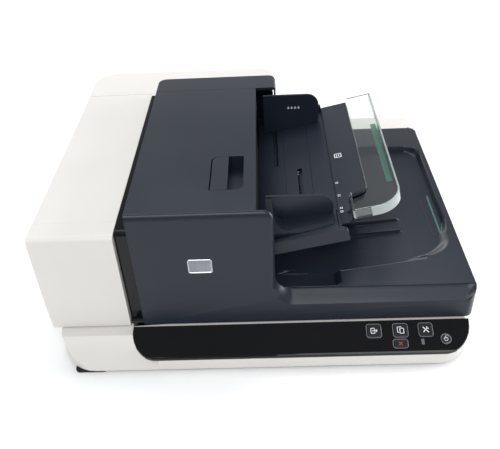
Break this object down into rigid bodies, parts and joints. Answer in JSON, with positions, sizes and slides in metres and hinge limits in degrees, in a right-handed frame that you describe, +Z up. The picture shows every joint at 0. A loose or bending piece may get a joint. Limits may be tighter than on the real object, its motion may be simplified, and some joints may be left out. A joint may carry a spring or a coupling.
{
  "type": "sheet fed document scanner",
  "caption": "Large desktop document scanner: a flatbed base with a control panel, and a lid that carries a sheet feeder, an input tray with sliding guides and an output tray.",
  "frame": {"origin": "centre of the footprint, on the plane of the rubber feet", "axes": "+X to the operator's right, -Y out of the front panel, +Z up"},
  "size_m": [0.602, 0.55, 0.236],
  "materials": {
    "white_abs": "fine-textured moulded ABS",
    "slate_abs": "fine-textured moulded ABS",
    "inner_abs": "moulded ABS, plain",
    "gloss_panel": "high-gloss moulded cover",
    "key_cap": "moulded key cap",
    "power_cap": "satin metallised cap",
    "light_pipe": "translucent light pipe",
    "badge_metal": "bright blank badge",
    "clear_pc": "clear moulded polycarbonate",
    "sea_pc": "tinted clear polycarbonate",
    "plate_glass": "float glass",
    "pad_foam": "white foil over foam",
    "pan_abs": "black coarse-textured moulding",
    "bright_steel": "ground shaft steel",
    "zinc_plate": "zinc-plated sheet",
    "foot_rubber": "moulded rubber",
    "roller_rubber": "ground rubber sleeve",
    "belt_rubber": "reinforced rubber belt",
    "board_epoxy": "solder-masked laminate",
    "lamp_lens": "lamp and lens window",
    "acetal": "natural acetal",
    "frame_pc": "light grey moulding"
  },
  "bodies": {
    "base": {"base_shell": "white_abs", "base_pan": "pan_abs", "feet": "foot_rubber", "hinge_bay": "inner_abs", "hinge_blocks": "zinc_plate", "glass_frame": "frame_pc", "flatbed_glass": "plate_glass", "feeder_glass": "plate_glass", "control_panel": "gloss_panel", "status_light": "light_pipe", "main_board": "board_epoxy", "connector_plate": "zinc_plate", "power_inlet": "inner_abs", "data_port": "zinc_plate", "carriage_rail": "bright_steel", "carriage_belt": "belt_rubber", "carriage_motor": "zinc_plate"},
    "lid": {"lid_frame": "inner_abs", "lid_hinge_pins": "bright_steel", "platen_pad": "pad_foam", "side_front_cover": "white_abs", "side_cover": "white_abs", "rear_side_cover": "white_abs", "rear_strip": "white_abs", "trim_strip": "gloss_panel", "front_cover": "slate_abs", "badge": "badge_metal", "rear_cover": "slate_abs", "output_tray": "slate_abs", "feeder_frame": "inner_abs", "paper_guide": "inner_abs", "second_side_sensor": "inner_abs", "feed_motor": "zinc_plate", "feed_belt": "belt_rubber", "input_tray": "slate_abs", "input_tray_base": "slate_abs"},
    "scan_carriage": {"scan_carriage": "inner_abs", "carriage_lamp": "lamp_lens"},
    "drive_pulley": {"belt_drive_pulley": "acetal"},
    "idler_pulley": {"belt_idler_pulley": "acetal"},
    "scan_button": {"scan_button": "key_cap"},
    "copy_button": {"copy_button": "key_cap"},
    "tools_button": {"tools_button": "key_cap"},
    "cancel_button": {"cancel_button": "key_cap"},
    "power_button": {"power_button": "power_cap"},
    "paper_stop": {"paper_stop": "sea_pc"},
    "feed_roller": {"feed_roller": "roller_rubber"},
    "separation_roller": {"separation_roller": "roller_rubber"},
    "turn_roller": {"turn_roller": "roller_rubber"},
    "exit_roller": {"exit_roller": "roller_rubber"},
    "hatch": {"hatch": "slate_abs"},
    "hatch_latch": {"hatch_latch": "slate_abs"},
    "pinch_rollers": {"pinch_rollers": "roller_rubber"},
    "guide_front": {"guide_front": "slate_abs"},
    "guide_rear": {"guide_rear": "slate_abs"},
    "guide_pinion": {"guide_pinion": "acetal"},
    "tray_extension": {"tray_extension": "clear_pc"}
  },
  "joints": [
    {"name": "lid_open", "type": "hinge", "parent": "base", "child": "lid", "pos_m": [0, 0.25, 0.052], "axis": [-1, 0, 0], "range_deg": [0, 60]},
    {"name": "hatch_open", "type": "hinge", "parent": "lid", "child": "hatch", "pos_m": [-0.158, 0, 0.214], "axis": [0, -1, 0], "range_deg": [0, 70]},
    {"name": "latch_pull", "type": "hinge", "parent": "hatch", "child": "hatch_latch", "pos_m": [-0.0595, 0, 0.232], "axis": [0, -1, 0], "range_deg": [0, 20], "stiffness_Nm_per_rad": 0.3, "springref_deg": -8.59},
    {"name": "pinch_spin", "type": "hinge", "parent": "hatch", "child": "pinch_rollers", "pos_m": [-0.12, 0, 0.143], "axis": [0, 1, 0], "continuous": true},
    {"name": "turn_spin", "type": "hinge", "parent": "lid", "child": "turn_roller", "pos_m": [-0.22, 0, 0.088], "axis": [0, 1, 0], "continuous": true},
    {"name": "feed_spin", "type": "hinge", "parent": "lid", "child": "feed_roller", "pos_m": [-0.06, 0, 0.156], "axis": [0, 1, 0], "continuous": true},
    {"name": "exit_spin", "type": "hinge", "parent": "lid", "child": "exit_roller", "pos_m": [-0.014, 0, 0.072], "axis": [0, 1, 0], "continuous": true},
    {"name": "separation_spin", "type": "hinge", "parent": "lid", "child": "separation_roller", "pos_m": [-0.06, 0, 0.127], "axis": [0, 1, 0], "continuous": true},
    {"name": "guide_rear_slide", "type": "slide", "parent": "lid", "child": "guide_rear", "axis": [0, 1, 0], "range_m": [-0.08, 0.024]},
    {"name": "guide_front_slide", "type": "slide", "parent": "lid", "child": "guide_front", "axis": [0, -1, 0], "range_m": [-0.08, 0.024]},
    {"name": "guide_pinion_spin", "type": "hinge", "parent": "lid", "child": "guide_pinion", "pos_m": [0.04903, -0.02, 0.15463], "axis": [-0.2164, 0, 0.9763], "range_deg": [-90, 290]},
    {"name": "extension_slide", "type": "slide", "parent": "lid", "child": "tray_extension", "axis": [0.9763, 0, 0.2164], "range_m": [0, 0.05]},
    {"name": "paper_stop_fold", "type": "hinge", "parent": "lid", "child": "paper_stop", "pos_m": [0.281, 0, 0.083], "axis": [0, 1, 0], "range_deg": [0, 75]},
    {"name": "scan_press", "type": "slide", "parent": "base", "child": "scan_button", "axis": [0, 0.3843, -0.9232], "range_m": [0, 0.001], "stiffness_N_per_m": 600, "springref_m": -0.001},
    {"name": "copy_press", "type": "slide", "parent": "base", "child": "copy_button", "axis": [0, 0.3843, -0.9232], "range_m": [0, 0.001], "stiffness_N_per_m": 600, "springref_m": -0.001},
    {"name": "tools_press", "type": "slide", "parent": "base", "child": "tools_button", "axis": [0, 0.3843, -0.9232], "range_m": [0, 0.001], "stiffness_N_per_m": 600, "springref_m": -0.001},
    {"name": "cancel_press", "type": "slide", "parent": "base", "child": "cancel_button", "axis": [0, 0.3843, -0.9232], "range_m": [0, 0.001], "stiffness_N_per_m": 600, "springref_m": -0.001},
    {"name": "power_press", "type": "slide", "parent": "base", "child": "power_button", "axis": [0, 0.3843, -0.9232], "range_m": [0, 0.001], "stiffness_N_per_m": 600, "springref_m": -0.001},
    {"name": "carriage_slide", "type": "slide", "parent": "base", "child": "scan_carriage", "axis": [1, 0, 0], "range_m": [0, 0.43]},
    {"name": "drive_pulley_spin", "type": "hinge", "parent": "base", "child": "drive_pulley", "pos_m": [-0.262, 0.136, 0.015], "axis": [0, 0, 1], "continuous": true},
    {"name": "idler_pulley_spin", "type": "hinge", "parent": "base", "child": "idler_pulley", "pos_m": [0.258, 0.136, 0.015], "axis": [0, 0, 1], "continuous": true}
  ],
  "couplings": [
    {"joint": "feed_spin", "follows": "turn_spin", "ratio": 1},
    {"joint": "exit_spin", "follows": "turn_spin", "ratio": 1},
    {"joint": "guide_front_slide", "follows": "guide_rear_slide", "ratio": 1},
    {"joint": "guide_pinion_spin", "follows": "guide_rear_slide", "rad_per_m": -62.5},
    {"joint": "drive_pulley_spin", "follows": "carriage_slide", "rad_per_m": 111.7},
    {"joint": "idler_pulley_spin", "follows": "carriage_slide", "rad_per_m": 111.7}
  ]
}
